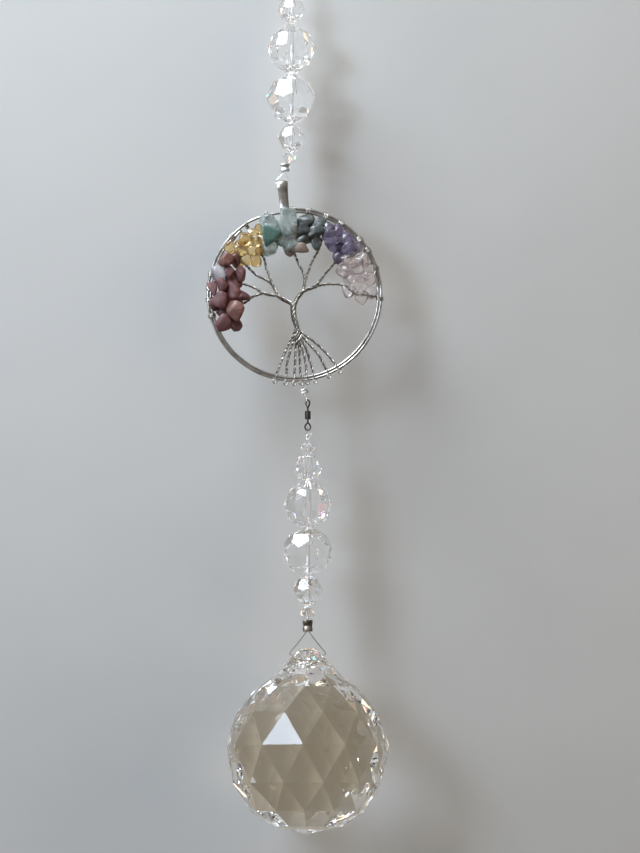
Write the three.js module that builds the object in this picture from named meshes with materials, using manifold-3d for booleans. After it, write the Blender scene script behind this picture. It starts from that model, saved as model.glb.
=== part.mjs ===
// Crystal suncatcher, hanging: glass beads, a wire tree-of-life pendant with gem chips,
// a barrel swivel and a faceted glass ball, all strung on clear line.
// Millimetres, +Z up, front towards -Y. The origin is where the top loop hangs on its hook.

import * as THREE from "three";
import { mergeVertices } from "three/addons/utils/BufferGeometryUtils.js";
import { ConvexGeometry } from "three/addons/geometries/ConvexGeometry.js";
import Module from "manifold-3d";

const wasm = await Module();
wasm.setup();

// ---- driving dimensions ----

const TURN = 2 * Math.PI;
const GAP = 0.3; // clearance between neighbours on the line

const LINE_D = 0.3; // clear monofilament
const LINE_SIDES = 6;
const STRAND_HALF = 0.24; // two strands lie this far each side of a crimp tube's middle

const HANG_LOOP_H = 18.75;
const HANG_LOOP_HALF_W = 2.4;

// beads: width across, height along the line, radius of the hole
const TINY_TOP = { width: 3.2, height: 2.3, bore: 0.35 };
const TINY_LOW = { width: 3.4, height: 3.1, bore: 0.35 };
const SMALL_TOP = { width: 6.5, height: 7.1, bore: 0.4 };
const SMALL_LOW = { width: 6.8, height: 6.2, bore: 0.4 };
const SMALL_END = { width: 7.1, height: 7.4, bore: 0.4 };
const LARGE_TOP = { width: 12.2, height: 12.4, bore: 0.5 };
const LARGE_LOW = { width: 11.9, height: 11.5, bore: 0.5 };
const LARGE_END = { width: 12.6, height: 11.2, bore: 0.5 };

// crimp tubes: half widths of the flattened section, wall and length
const CRIMP = { halfX: 1.2, halfY: 0.75, wall: 0.36, height: 2.05 };
const DROP_CRIMP = { halfX: 1.05, halfY: 0.62, wall: 0.3, height: 1.05 };
const END_CRIMP = { halfX: 1.25, halfY: 1.0, wall: 0.45, height: 2.8 };

// pendant ring: one wire wound twice, the turns side by side
const RING_R = 22; // outside radius
const RING_WIRE_D = 0.68;
const RING_PITCH = 0.7;
const RING_STEPS = 94;
const RING_SHIFT = 0.08; // part of a turn in which the wire moves from the outer to the inner track
const PENDANT_X = 0.875;
const PENDANT_Z = -99.75;
const PENDANT_TILT = THREE.MathUtils.degToRad(6.4);

// bail: a tapered strip folded over the line and closed under the ring
const BAIL_TOP = 29.2;
const BAIL_BOTTOM = 20.05;
const BAIL_WALL = 0.38;
const BAIL_HALF_TOP_W = 1.45;
const BAIL_HALF_LOW_W = 1.05;

const TREE_WIRE_D = 0.62; // a twisted pair, as one round bundle
const TRUNK_D = 1.7;
const CHIP_SIZE = 3.6;
const CHIP_THICK = 2.1;
const CHIP_Y = 1.75; // chips lie this far in front of the branch wires

// barrel swivel
const LOWER_X = 4.2; // the lower strand hangs from the pendant's low point
const EYE_WIRE_D = 0.42;
const EYE_HALF_W = 0.72;
const EYE_HALF_H = 0.9;
const BARREL_TOP = -129.0;
const BARREL_H = 2.1;
const BARREL_R = 0.72;
const BARREL_BORE = 0.32;
const BARREL_CAVITY_R = 0.54;
const BARREL_WALL_END = 0.35;
const STEM_R = 0.22;
const HEAD_R = 0.44;
const HEAD_H = 0.4;
const UPPER_EYE_TURN = THREE.MathUtils.degToRad(50);

const LOWER_BEADS_TOP = -136.9;

// ball: facet rows as latitude in degrees, twelve facets round, on a sphere of BALL_R
const BALL_R = 20.3;
const BALL_SIDES = 12;
const BALL_TURN = THREE.MathUtils.degToRad(3);
const BALL_ROWS = [
  { latitude: 51, half: false },
  { latitude: 27.5, half: true },
  { latitude: 4, half: false },
  { latitude: -22.5, half: true },
  { latitude: -46, half: false },
  { latitude: -65, half: false },
];
const BALL_TIP = -BALL_R;
const NECK_RINGS = [
  { radius: 8.4, height: 18.9 },
  { radius: 5.5, height: 22.0 },
  { radius: 3.4, height: 24.2 },
  { radius: 2.1, height: 25.5 },
];
const NECK_HOLE_R = 0.6;
const NECK_HOLE_H = 23.9;

// ---- solids ----

function toManifold(geometry) {
  const bare = geometry.clone();
  bare.deleteAttribute("normal");
  bare.deleteAttribute("uv");
  const merged = mergeVertices(bare, 1e-4);
  const mesh = new wasm.Mesh({
    numProp: 3,
    vertProperties: new Float32Array(merged.attributes.position.array),
    triVerts: new Uint32Array(merged.index.array),
  });
  return new wasm.Manifold(mesh);
}

function toGeometry(manifold) {
  const mesh = manifold.getMesh();
  const geometry = new THREE.BufferGeometry();
  geometry.setAttribute("position", new THREE.BufferAttribute(mesh.vertProperties, 3));
  geometry.setIndex(new THREE.BufferAttribute(mesh.triVerts, 1));
  geometry.computeVertexNormals();
  return geometry;
}

function union(geometries) {
  const solids = geometries.map(toManifold);
  return toGeometry(solids.reduce((joined, solid) => joined.add(solid)));
}

function subtract(geometry, cutter) {
  return toGeometry(toManifold(geometry).subtract(toManifold(cutter)));
}

// A tube through the points. Its rings follow the points, so bends set close together stay fine.
function tube(points, diameter, sides = LINE_SIDES, stepsPerSpan = 2) {
  const path = new THREE.CatmullRomCurve3(points, false, "centripetal");
  path.getUtoTmapping = (u) => u;
  const section = new THREE.Shape();
  for (let i = 0; i < sides; i++) {
    const angle = (TURN * i) / sides;
    const x = (diameter / 2) * Math.cos(angle);
    const y = (diameter / 2) * Math.sin(angle);
    if (i === 0) section.moveTo(x, y);
    else section.lineTo(x, y);
  }
  section.closePath();
  return new THREE.ExtrudeGeometry(section, {
    steps: (points.length - 1) * stepsPerSpan,
    extrudePath: path,
    bevelEnabled: false,
  });
}

function verticalCylinder(radius, height, sides = 10) {
  return new THREE.CylinderGeometry(radius, radius, height, sides).rotateX(Math.PI / 2);
}

const vec = (x, y, z) => new THREE.Vector3(x, y, z);

// ---- materials ----

function look(color, roughness, metalness, opacity = 1) {
  return new THREE.MeshStandardMaterial({
    color,
    roughness,
    metalness,
    opacity,
    transparent: opacity < 1,
  });
}

const GLASS = look(0xe6e9ea, 0.05, 0, 0.35);
const LINE = look(0xdcdfdf, 0.2, 0, 0.5);
const SILVER = look(0x9c9b96, 0.3, 1);
const BRONZE = look(0x3a332e, 0.4, 1);
const STONES = {
  jasper: look(0x6d3f3f, 0.4, 0),
  carnelian: look(0xa5685a, 0.4, 0),
  moonstone: look(0xcfcddd, 0.3, 0),
  citrine: look(0xc9a951, 0.2, 0, 0.7),
  aventurine: look(0x9db5ad, 0.3, 0, 0.85),
  greenstone: look(0x4d8069, 0.3, 0),
  darkstone: look(0x4c5350, 0.4, 0),
  sandstone: look(0xa08f84, 0.5, 0),
  amethyst: look(0x594f7d, 0.2, 0, 0.85),
  quartz: look(0xcfc6cb, 0.1, 0, 0.5),
};

const suncatcher = new THREE.Group();

function addMesh(parent, name, geometry, material) {
  const mesh = new THREE.Mesh(geometry, material);
  mesh.name = name;
  parent.add(mesh);
  return mesh;
}

// ---- beads and crimps on the line ----

// A round bead cut by flat facets: rows of planes, each tilted up or down from level.
function facetedBead({ width, height, bore }, rows) {
  const radius = width / 2;
  let solid = toManifold(new THREE.BoxGeometry(width * 1.3, width * 1.3, height));
  for (const { count, tilt, distance, half } of rows) {
    for (const side of [1, -1]) {
      if (side < 0 && tilt === 0) continue;
      const angle = THREE.MathUtils.degToRad(tilt * side);
      for (let i = 0; i < count; i++) {
        const turn = (TURN * (i + (half === side || half === 2 ? 0.5 : 0))) / count;
        const normal = [
          -Math.cos(angle) * Math.cos(turn),
          -Math.cos(angle) * Math.sin(turn),
          -Math.sin(angle),
        ];
        solid = solid.trimByPlane(normal, -distance * radius);
      }
    }
  }
  return toGeometry(solid.subtract(toManifold(verticalCylinder(bore, height + 2, 8))));
}

// Facet rows. half: 0 none, 1 the upper row, 2 both rows turned by half a facet.
const SHIELD_CUT = [
  { count: 8, tilt: 24, distance: 0.9, half: 1 },
  { count: 8, tilt: 58, distance: 0.95, half: 1 },
];
const LONG_CUT = [
  { count: 12, tilt: 20, distance: 0.91, half: 0 },
  { count: 12, tilt: 52, distance: 0.93, half: 2 },
];
const KITE_CUT = [
  { count: 8, tilt: 30, distance: 0.92, half: 1 },
  { count: 8, tilt: 0, distance: 0.93, half: 0 },
  { count: 8, tilt: 60, distance: 0.91, half: 1 },
];
const SMALL_CUT = [
  { count: 8, tilt: 24, distance: 0.91, half: 1 },
  { count: 8, tilt: 56, distance: 1.0, half: 1 },
];
const TINY_CUT = [
  { count: 6, tilt: 22, distance: 0.9, half: 1 },
  { count: 6, tilt: 55, distance: 0.86, half: 1 },
];

function crimpTube({ halfX, halfY, wall, height }) {
  const section = new THREE.Shape();
  section.absellipse(0, 0, halfX, halfY, 0, TURN);
  const bore = new THREE.Path();
  bore.absellipse(0, 0, halfX - wall, halfY - wall, 0, TURN);
  section.holes.push(bore);
  const body = new THREE.ExtrudeGeometry(section, {
    depth: height,
    bevelEnabled: false,
    curveSegments: 8,
  });
  return body.translate(0, 0, -height / 2);
}

// Pieces down the line from a given height, each followed by a gap. Returns the lowest height.
function stack(top, pieces) {
  let z = top;
  for (const { name, size, cut, x, turn = 0 } of pieces) {
    const geometry = cut ? facetedBead(size, cut) : crimpTube(size);
    const mesh = addMesh(suncatcher, name, geometry, cut ? GLASS : SILVER);
    mesh.position.set(x, 0, z - size.height / 2);
    mesh.rotation.z = THREE.MathUtils.degToRad(turn);
    z -= size.height + GAP;
  }
  return z + GAP;
}

const bailCrimpX = -1.55;
const tinyAboveCrimpX = -0.4;
const upperEnd = stack(-HANG_LOOP_H, [
  { name: "top_crimp_tube", size: CRIMP, x: 0 },
  { name: "upper_tiny_bead_1", size: TINY_TOP, cut: TINY_CUT, x: 0 },
  { name: "upper_small_bead_1", size: SMALL_TOP, cut: SMALL_CUT, x: 0, turn: 9 },
  { name: "upper_large_bead_1", size: LARGE_TOP, cut: LONG_CUT, x: 0, turn: 5 },
  { name: "upper_large_bead_2", size: LARGE_TOP, cut: SHIELD_CUT, x: 0, turn: 2.5 },
  { name: "upper_small_bead_2", size: SMALL_TOP, cut: SMALL_CUT, x: 0, turn: 2.5 },
  { name: "upper_tiny_bead_2", size: TINY_TOP, cut: TINY_CUT, x: tinyAboveCrimpX, turn: 12 },
  { name: "bail_crimp_tube", size: CRIMP, x: bailCrimpX },
]);

const lowerEnd = stack(LOWER_BEADS_TOP, [
  { name: "lower_tiny_bead_1", size: TINY_LOW, cut: TINY_CUT, x: LOWER_X, turn: 8 },
  { name: "lower_small_bead_1", size: SMALL_LOW, cut: SMALL_CUT, x: LOWER_X, turn: 14 },
  { name: "lower_large_bead_1", size: LARGE_LOW, cut: LONG_CUT, x: LOWER_X, turn: 11 },
  { name: "lower_large_bead_2", size: LARGE_END, cut: KITE_CUT, x: LOWER_X, turn: 2 },
  { name: "lower_small_bead_2", size: SMALL_END, cut: SMALL_CUT, x: LOWER_X, turn: 4 },
  { name: "lower_tiny_bead_2", size: TINY_LOW, cut: TINY_CUT, x: LOWER_X, turn: 20 },
  { name: "ball_crimp_tube", size: END_CRIMP, x: LOWER_X },
]);

// ---- pendant: ring, bail, tree and chips, in their own upright frame ----

const pendant = new THREE.Group();
pendant.position.set(PENDANT_X, 0, PENDANT_Z);
pendant.rotation.y = -PENDANT_TILT;
pendant.updateMatrix();
suncatcher.add(pendant);

const pendantPoint = (x, y, z) => vec(x, y, z).applyMatrix4(pendant.matrix);

function ringPoint(turns) {
  const outer = RING_R - RING_WIRE_D / 2;
  const inTurn = THREE.MathUtils.clamp((turns - (1 - RING_SHIFT)) / RING_SHIFT, 0, 1);
  const eased = inTurn * inTurn * (3 - 2 * inTurn);
  const radius = outer - RING_PITCH * eased;
  return vec(radius * Math.sin(TURN * turns), 0, radius * Math.cos(TURN * turns));
}

function ringWire() {
  const turnsInAll = 2 - RING_SHIFT - 0.012;
  const points = [];
  for (let i = 0; i <= RING_STEPS; i++) {
    points.push(ringPoint((turnsInAll * i) / RING_STEPS));
  }
  return tube(points, RING_WIRE_D, 8, 1);
}

addMesh(pendant, "pendant_ring", ringWire(), SILVER);

// Half depth of the folded strip at each height: narrow round the ring, full round the line.
function bailOutline(inset) {
  const half = (depth) => depth - inset;
  const low = BAIL_BOTTOM + inset;
  const high = BAIL_TOP - inset;
  const bulge = BAIL_TOP - 2.1;
  const shoulder = BAIL_TOP - 0.7;
  const shape = new THREE.Shape();
  shape.moveTo(0, low);
  shape.bezierCurveTo(half(0.9), low, half(1.1), 20.9, half(1.05), 21.8);
  shape.bezierCurveTo(half(1.0), 23.6, half(1.35), 25.2, half(1.6), bulge);
  shape.bezierCurveTo(half(1.75), shoulder, half(1.0), high, 0, high);
  shape.bezierCurveTo(-half(1.0), high, -half(1.75), shoulder, -half(1.6), bulge);
  shape.bezierCurveTo(-half(1.35), 25.2, -half(1.0), 23.6, -half(1.05), 21.8);
  shape.bezierCurveTo(-half(1.1), 20.9, -half(0.9), low, 0, low);
  return shape;
}

function bail() {
  const shape = bailOutline(0);
  shape.holes.push(bailOutline(BAIL_WALL));
  const strip = new THREE.ExtrudeGeometry(shape, {
    depth: 2,
    bevelEnabled: false,
    curveSegments: 5,
  });
  strip.translate(0, 0, -1);
  const position = strip.attributes.position;
  for (let i = 0; i < position.count; i++) {
    const depth = position.getX(i);
    const height = position.getY(i);
    const along = (height - BAIL_BOTTOM) / (BAIL_TOP - BAIL_BOTTOM);
    const halfWidth = THREE.MathUtils.lerp(BAIL_HALF_LOW_W, BAIL_HALF_TOP_W, along);
    position.setXYZ(i, position.getZ(i) * halfWidth, depth, height);
  }
  return strip;
}

addMesh(pendant, "pendant_bail", bail(), SILVER);

// Tree wires in the ring's plane: each branch or root is a short list of x, z stations.
const ROOT_TOP = [-0.3, -8.6];
const RING_INSIDE = RING_R - RING_WIRE_D - RING_PITCH - TREE_WIRE_D / 2 - 0.25;
const TRUNK = [[-0.5, -2.4], [-0.7, -5.2], ROOT_TOP];
const LEFT_FORK = [-4.2, 0.3];
const RIGHT_FORK = [1.9, 0.4];
const BRANCHES = [
  [[-0.5, -2.8], [-3.0, -0.8], LEFT_FORK, [-6.3, 0.7], [-8.1, 1.4], [-11.2, 3.6], [-14.4, 4.7]],
  [[-8.1, 1.4], [-10.3, 0.7], [-13.0, -0.9], [-17.5, -1.6]],
  [LEFT_FORK, [-5.1, 3.0], [-8.8, 5.9], [-11.6, 9.2], [-14.2, 12.8]],
  [[-5.1, 3.0], [-6.3, 7.6], [-7.2, 11.4], [-8.6, 15.6]],
  [[-0.5, -2.8], [0.5, -1.1], RIGHT_FORK, [2.8, 3.0], [2.2, 6.4], [1.0, 10.0], [0.2, 15.0]],
  [[2.8, 3.0], [4.0, 5.2], [5.8, 8.4], [8.0, 12.0], [9.4, 15.4]],
  [RIGHT_FORK, [4.4, 1.2], [8.5, 4.7], [11.4, 8.0], [14.6, 12.2]],
  [[4.4, 1.2], [7.2, 1.8], [10.0, 1.7], [12.9, 0.6], [14.6, -1.2], [16.9, -2.0], [19.6, -2.5]],
];
const ROOT_ANGLES = [-160, -167, -174, -178.5, 177, 172, 164.5, 155];

function treeWire(stations, diameter) {
  const points = stations.map(([x, z]) => vec(x, 0, z));
  return tube(points, diameter, 6, 2);
}

function rootStations(degrees) {
  const angle = THREE.MathUtils.degToRad(degrees);
  const end = [RING_INSIDE * Math.sin(angle), RING_INSIDE * Math.cos(angle)];
  const bow = 0.1 * end[0];
  const middle = [(ROOT_TOP[0] + end[0]) / 2 - bow, (ROOT_TOP[1] + end[1]) / 2 + 0.4];
  return [ROOT_TOP, middle, end];
}

function tree() {
  const wires = BRANCHES.map((stations) => treeWire(stations, TREE_WIRE_D));
  wires.push(treeWire(TRUNK, TRUNK_D));
  for (const degrees of ROOT_ANGLES) wires.push(treeWire(rootStations(degrees), TREE_WIRE_D));
  return union(wires);
}

addMesh(pendant, "tree_wires", tree(), SILVER);

// Gem chips lie in two arcs in front of the branch wires. Angles run clockwise from the top.
const CHIP_ROWS = [
  {
    distance: 18.6,
    from: -110,
    step: 11.6,
    stones: "jasper jasper jasper jasper moonstone carnelian citrine citrine aventurine " +
      "aventurine aventurine darkstone darkstone amethyst amethyst quartz quartz quartz",
  },
  {
    distance: 14.85,
    from: -102,
    step: 14.2,
    stones: "carnelian jasper jasper carnelian citrine citrine greenstone aventurine " +
      "sandstone darkstone amethyst amethyst quartz quartz",
  },
];

// A tumbled chip: a low rounded lump, flatter than it is wide, a little uneven.
function chip(size, seed) {
  const lump = new THREE.IcosahedronGeometry(size / 2, 1);
  const position = lump.attributes.position;
  for (let i = 0; i < position.count; i++) {
    const point = vec(position.getX(i), position.getY(i), position.getZ(i));
    const wave = Math.sin(point.x * 1.7 + seed) + Math.sin(point.z * 2.1 + seed * 1.9);
    point.multiplyScalar(0.93 + 0.03 * wave);
    position.setXYZ(i, point.x, point.y, point.z);
  }
  lump.scale(1, CHIP_THICK / size, 1);
  return lump;
}

const chipCounts = {};
for (const { distance, from, step, stones } of CHIP_ROWS) {
  stones.split(" ").forEach((stone, i) => {
    chipCounts[stone] = (chipCounts[stone] || 0) + 1;
    const name = `${stone}_chip_${chipCounts[stone]}`;
    const mesh = addMesh(pendant, name, chip(CHIP_SIZE, distance + i), STONES[stone]);
    const angle = THREE.MathUtils.degToRad(from + i * step);
    mesh.position.set(distance * Math.sin(angle), -CHIP_Y, distance * Math.cos(angle));
  });
}

// ---- barrel swivel ----

const barrelMid = BARREL_TOP - BARREL_H / 2;

function swivelBarrel() {
  const half = BARREL_H / 2;
  const inner = half - BARREL_WALL_END;
  const soft = 0.12; // rounded rim
  const profile = [
    [BARREL_BORE, -half],
    [BARREL_R - soft, -half],
    [BARREL_R, -half + soft],
    [BARREL_R, half - soft],
    [BARREL_R - soft, half],
    [BARREL_BORE, half],
    [BARREL_BORE, inner],
    [BARREL_CAVITY_R, inner],
    [BARREL_CAVITY_R, -inner],
    [BARREL_BORE, -inner],
    [BARREL_BORE, -half],
  ];
  const points = profile.map(([radius, height]) => new THREE.Vector2(radius, height));
  return new THREE.LatheGeometry(points, 16).rotateX(Math.PI / 2);
}

// An eye with its stem pointing up: the stem's head turns inside the barrel.
function swivelEye() {
  const rounds = 18;
  const middleZ = -(BARREL_H / 2 + 0.95 + EYE_HALF_H);
  const bend = [];
  for (let i = 0; i <= rounds; i++) {
    const angle = 0.35 + ((TURN - 0.7) * i) / rounds;
    const pinch = 1 - 0.35 * Math.max(0, Math.cos(angle));
    bend.push(vec(EYE_HALF_W * pinch * Math.sin(angle), 0, middleZ + EYE_HALF_H * Math.cos(angle)));
  }
  const throat = vec(0, 0, middleZ + EYE_HALF_H + 0.25);
  const wire = tube([throat, ...bend, throat.clone().setX(0.02)], EYE_WIRE_D, 6, 1);
  const inner = BARREL_H / 2 - BARREL_WALL_END;
  const headTop = -inner + 0.12 + HEAD_H;
  const stemBottom = middleZ + EYE_HALF_H - 0.1;
  const stemHeight = headTop - 0.1 - stemBottom;
  const stem = verticalCylinder(STEM_R, stemHeight, 10).translate(0, 0, stemBottom + stemHeight / 2);
  const head = verticalCylinder(HEAD_R, HEAD_H, 10).translate(0, 0, headTop - HEAD_H / 2);
  return union([wire, stem, head]);
}

const barrel = addMesh(suncatcher, "swivel_barrel", swivelBarrel(), BRONZE);
barrel.position.set(LOWER_X, 0, barrelMid);
const upperEye = addMesh(suncatcher, "swivel_upper_eye", swivelEye(), BRONZE);
upperEye.position.set(LOWER_X, 0, barrelMid);
upperEye.rotation.set(Math.PI, 0, UPPER_EYE_TURN);
const lowerEye = addMesh(suncatcher, "swivel_lower_eye", swivelEye(), BRONZE);
lowerEye.position.set(LOWER_X, 0, barrelMid);

// ---- ball ----

const ballTop = lowerEnd - 4.3;
const BALL_Z = ballTop - NECK_RINGS[NECK_RINGS.length - 1].height;

function ring(radius, height, half) {
  const points = [];
  for (let i = 0; i < BALL_SIDES; i++) {
    const angle = (TURN * (i + (half ? 0.5 : 0))) / BALL_SIDES - BALL_TURN;
    points.push(vec(radius * Math.sin(angle), -radius * Math.cos(angle), height));
  }
  return points;
}

function crystalBall() {
  const points = [vec(0, 0, BALL_TIP)];
  for (const { latitude, half } of BALL_ROWS) {
    const angle = THREE.MathUtils.degToRad(latitude);
    points.push(...ring(BALL_R * Math.cos(angle), BALL_R * Math.sin(angle), half));
  }
  const [base, ...upper] = NECK_RINGS;
  points.push(...ring(base.radius, base.height, false));
  const neck = new ConvexGeometry([
    ...ring(base.radius, base.height - 1, false),
    ...ring(base.radius, base.height, false),
    ...upper.flatMap(({ radius, height }, i) => ring(radius, height, i % 2 === 0)),
  ]);
  const hole = new THREE.CylinderGeometry(NECK_HOLE_R, NECK_HOLE_R, 14, 12).rotateZ(Math.PI / 2);
  hole.translate(0, 0, NECK_HOLE_H);
  return subtract(union([new ConvexGeometry(points), neck]), hole);
}

addMesh(suncatcher, "crystal_ball", crystalBall(), GLASS).position.set(LOWER_X, 0, BALL_Z);

// ---- clear line, in three lengths ----

const crimpTopZ = -HANG_LOOP_H;
const bailCrimpTop = upperEnd + CRIMP.height;
const throughBail = BAIL_TOP - BAIL_WALL - LINE_D / 2 - 0.12;

// Hanging loop, down through the beads, round the bail and back into its crimp tube.
const upperLine = [
  vec(-STRAND_HALF, 0, crimpTopZ - 1.6),
  vec(-STRAND_HALF, 0, crimpTopZ),
  vec(-HANG_LOOP_HALF_W * 0.7, 0, crimpTopZ + 5),
  vec(-HANG_LOOP_HALF_W, 0, -6),
  vec(-HANG_LOOP_HALF_W * 0.75, 0, -2),
  vec(0, 0, -LINE_D / 2),
  vec(HANG_LOOP_HALF_W * 0.75, 0, -2),
  vec(HANG_LOOP_HALF_W, 0, -6),
  vec(HANG_LOOP_HALF_W * 0.7, 0, crimpTopZ + 5),
  vec(STRAND_HALF, 0, crimpTopZ),
  vec(STRAND_HALF, 0, crimpTopZ - CRIMP.height),
  vec(0, 0, crimpTopZ - CRIMP.height - 1.6),
  vec(0, 0, -32),
  vec(0, 0, -50),
  vec(0, 0, upperEnd + CRIMP.height + 2 * GAP + TINY_TOP.height + 0.3),
  vec(tinyAboveCrimpX, 0, upperEnd + CRIMP.height + GAP + TINY_TOP.height - 0.3),
  vec(tinyAboveCrimpX, 0, upperEnd + CRIMP.height + GAP + 0.3),
  vec(bailCrimpX + STRAND_HALF, 0, bailCrimpTop - 0.2),
  vec(bailCrimpX + STRAND_HALF, 0, upperEnd),
  pendantPoint(BAIL_HALF_TOP_W + 0.35, 0, throughBail + 0.35),
  pendantPoint(BAIL_HALF_TOP_W + 0.2, 0, throughBail + 0.02),
  pendantPoint(0, 0, throughBail),
  pendantPoint(-BAIL_HALF_TOP_W - 0.2, 0, throughBail + 0.02),
  pendantPoint(-BAIL_HALF_TOP_W - 0.35, 0, throughBail + 0.35),
  vec(bailCrimpX - STRAND_HALF, 0, upperEnd),
  vec(bailCrimpX - STRAND_HALF, 0, upperEnd + 1.4),
];
addMesh(suncatcher, "upper_line", tube(upperLine, LINE_D), LINE);

// From round the ring's lowest point, through its crimp tube, to the swivel's upper eye.
const dropCrimpX = 3.35;
const dropCrimpZ = -124.1;
const bandInner = RING_R - RING_WIRE_D - RING_PITCH;
const bandFront = RING_WIRE_D / 2 + LINE_D / 2 + 0.12;
const eyeTop = barrelMid + BARREL_H / 2 + 0.95 + 2 * EYE_HALF_H;
const underEyeTop = eyeTop - EYE_WIRE_D / 2 - LINE_D / 2 - 0.1;
const across = vec(Math.sin(UPPER_EYE_TURN), Math.cos(UPPER_EYE_TURN), 0);
const dropLine = [
  vec(dropCrimpX + STRAND_HALF, 0, dropCrimpZ + 0.12),
  vec(dropCrimpX + STRAND_HALF, 0, dropCrimpZ + 0.75),
  pendantPoint(0.15, -bandFront, -RING_R - 0.6),
  pendantPoint(0.15, -bandFront, -bandInner),
  pendantPoint(0, 0, -bandInner + LINE_D / 2 + 0.14),
  pendantPoint(-0.15, bandFront, -bandInner),
  pendantPoint(-0.15, bandFront, -RING_R - 0.6),
  vec(dropCrimpX - STRAND_HALF, 0, dropCrimpZ + 0.75),
  vec(dropCrimpX - STRAND_HALF, 0, dropCrimpZ - 0.75),
  vec(LOWER_X, 0, underEyeTop + 0.1).addScaledVector(across, 0.5),
  vec(LOWER_X, 0, underEyeTop),
  vec(LOWER_X, 0, underEyeTop + 0.1).addScaledVector(across, -0.5),
  vec(dropCrimpX + STRAND_HALF, 0, dropCrimpZ - 0.75),
  vec(dropCrimpX + STRAND_HALF, 0, dropCrimpZ - 0.25),
];
addMesh(suncatcher, "drop_line", tube(dropLine, LINE_D), LINE);
const dropCrimp = addMesh(suncatcher, "drop_crimp_tube", crimpTube(DROP_CRIMP), SILVER);
dropCrimp.position.set(dropCrimpX, 0, dropCrimpZ);

// From the swivel's lower eye, through the beads and crimp tube, round through the ball's neck.
const eyeBottom = barrelMid - BARREL_H / 2 - 0.95 - 2 * EYE_HALF_H;
const overEyeBottom = eyeBottom + EYE_WIRE_D / 2 + LINE_D / 2 + 0.1;
const endCrimpTop = lowerEnd + END_CRIMP.height;
const neckHoleZ = BALL_Z + NECK_HOLE_H;
const neckSide = 4.4;
const lowerLine = [
  vec(LOWER_X + 0.1, 0.62, LOWER_BEADS_TOP + 0.6),
  vec(LOWER_X + 0.1, 0.55, eyeBottom - 0.5),
  vec(LOWER_X, 0.4, overEyeBottom - 0.05),
  vec(LOWER_X, 0, overEyeBottom),
  vec(LOWER_X, -0.4, overEyeBottom - 0.05),
  vec(LOWER_X, -0.4, eyeBottom - 0.6),
  vec(LOWER_X, 0, LOWER_BEADS_TOP + 0.5),
  vec(LOWER_X, 0, LOWER_BEADS_TOP - 3),
  vec(LOWER_X, 0, -160),
  vec(LOWER_X, 0, endCrimpTop + 0.8),
  vec(LOWER_X + STRAND_HALF, 0, endCrimpTop - 0.6),
  vec(LOWER_X + STRAND_HALF, 0, lowerEnd),
  vec(LOWER_X + neckSide - 0.2, 0, neckHoleZ + 0.9),
  vec(LOWER_X + neckSide, 0, neckHoleZ + 0.2),
  vec(LOWER_X + neckSide - 0.4, 0, neckHoleZ + 0.02),
  vec(LOWER_X, 0, neckHoleZ),
  vec(LOWER_X - neckSide + 0.4, 0, neckHoleZ + 0.02),
  vec(LOWER_X - neckSide, 0, neckHoleZ + 0.2),
  vec(LOWER_X - neckSide + 0.2, 0, neckHoleZ + 0.9),
  vec(LOWER_X - STRAND_HALF, 0, lowerEnd),
  vec(LOWER_X - STRAND_HALF, 0, lowerEnd + 2.2),
];
addMesh(suncatcher, "lower_line", tube(lowerLine, LINE_D), LINE);

export default suncatcher;
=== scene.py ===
# Looks for the crystal suncatcher: clear crystal, silver wire tree, gem chips and swivel,
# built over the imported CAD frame. Lengths in this file are millimetres until a mesh is made.

import math
import random

import bpy
import numpy as np
from mathutils import Matrix, Vector


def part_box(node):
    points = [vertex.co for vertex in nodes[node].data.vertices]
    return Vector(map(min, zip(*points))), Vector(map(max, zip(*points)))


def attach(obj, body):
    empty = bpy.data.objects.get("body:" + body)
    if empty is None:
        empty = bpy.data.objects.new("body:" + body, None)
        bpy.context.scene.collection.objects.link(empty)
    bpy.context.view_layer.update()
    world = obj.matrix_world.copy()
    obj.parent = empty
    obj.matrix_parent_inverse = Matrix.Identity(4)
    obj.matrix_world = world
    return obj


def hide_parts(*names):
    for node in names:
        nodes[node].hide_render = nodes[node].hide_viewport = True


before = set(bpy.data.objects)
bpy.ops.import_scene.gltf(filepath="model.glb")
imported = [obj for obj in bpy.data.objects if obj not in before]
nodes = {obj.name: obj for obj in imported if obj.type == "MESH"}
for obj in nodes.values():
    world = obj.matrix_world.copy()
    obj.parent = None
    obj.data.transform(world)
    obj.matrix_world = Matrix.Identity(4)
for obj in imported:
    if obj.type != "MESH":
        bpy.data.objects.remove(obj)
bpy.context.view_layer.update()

MM = 0.001
TURN = 2 * math.pi

# ---- sizes shared with the CAD part ----

LINE_D = 0.3
LOWER_X = 4.2
RING_R = 22.0
RING_WIRE_D = 0.68
RING_PITCH = 0.7
RING_SHIFT = 0.08
PENDANT_TILT = math.radians(6.4)
PENDANT = Matrix.Translation((0.875, 0, -99.75)) @ Matrix.Rotation(-PENDANT_TILT, 4, "Y")
BAIL_TOP = 29.2
BAIL_BOTTOM = 20.05
BALL_R = 20.3

# Single wires, which are only in this file, and the ring's two turns taken together.
WIRE_D = 0.37  # tree wire
WRAP_D = 0.32  # wire round the rim
WIRE_STEP = 0.16  # between the points along a tree wire
BAND_MID = RING_R - RING_WIRE_D / 2 - RING_PITCH / 2
BAND_HALF = RING_WIRE_D / 2 + RING_PITCH / 2

# ---- camera ----

# The picture is 640 x 853. At the strand, one of its pixels is a quarter of a millimetre.
VIEW_CENTRE = Vector((7.25, 0, -132.9)) * MM
VIEW_RISE = math.radians(-6)
VIEW_DISTANCE = 0.9875
PICTURE_HEIGHT = 853
PIXEL = 0.25 * MM
SENSOR = 36


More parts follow.
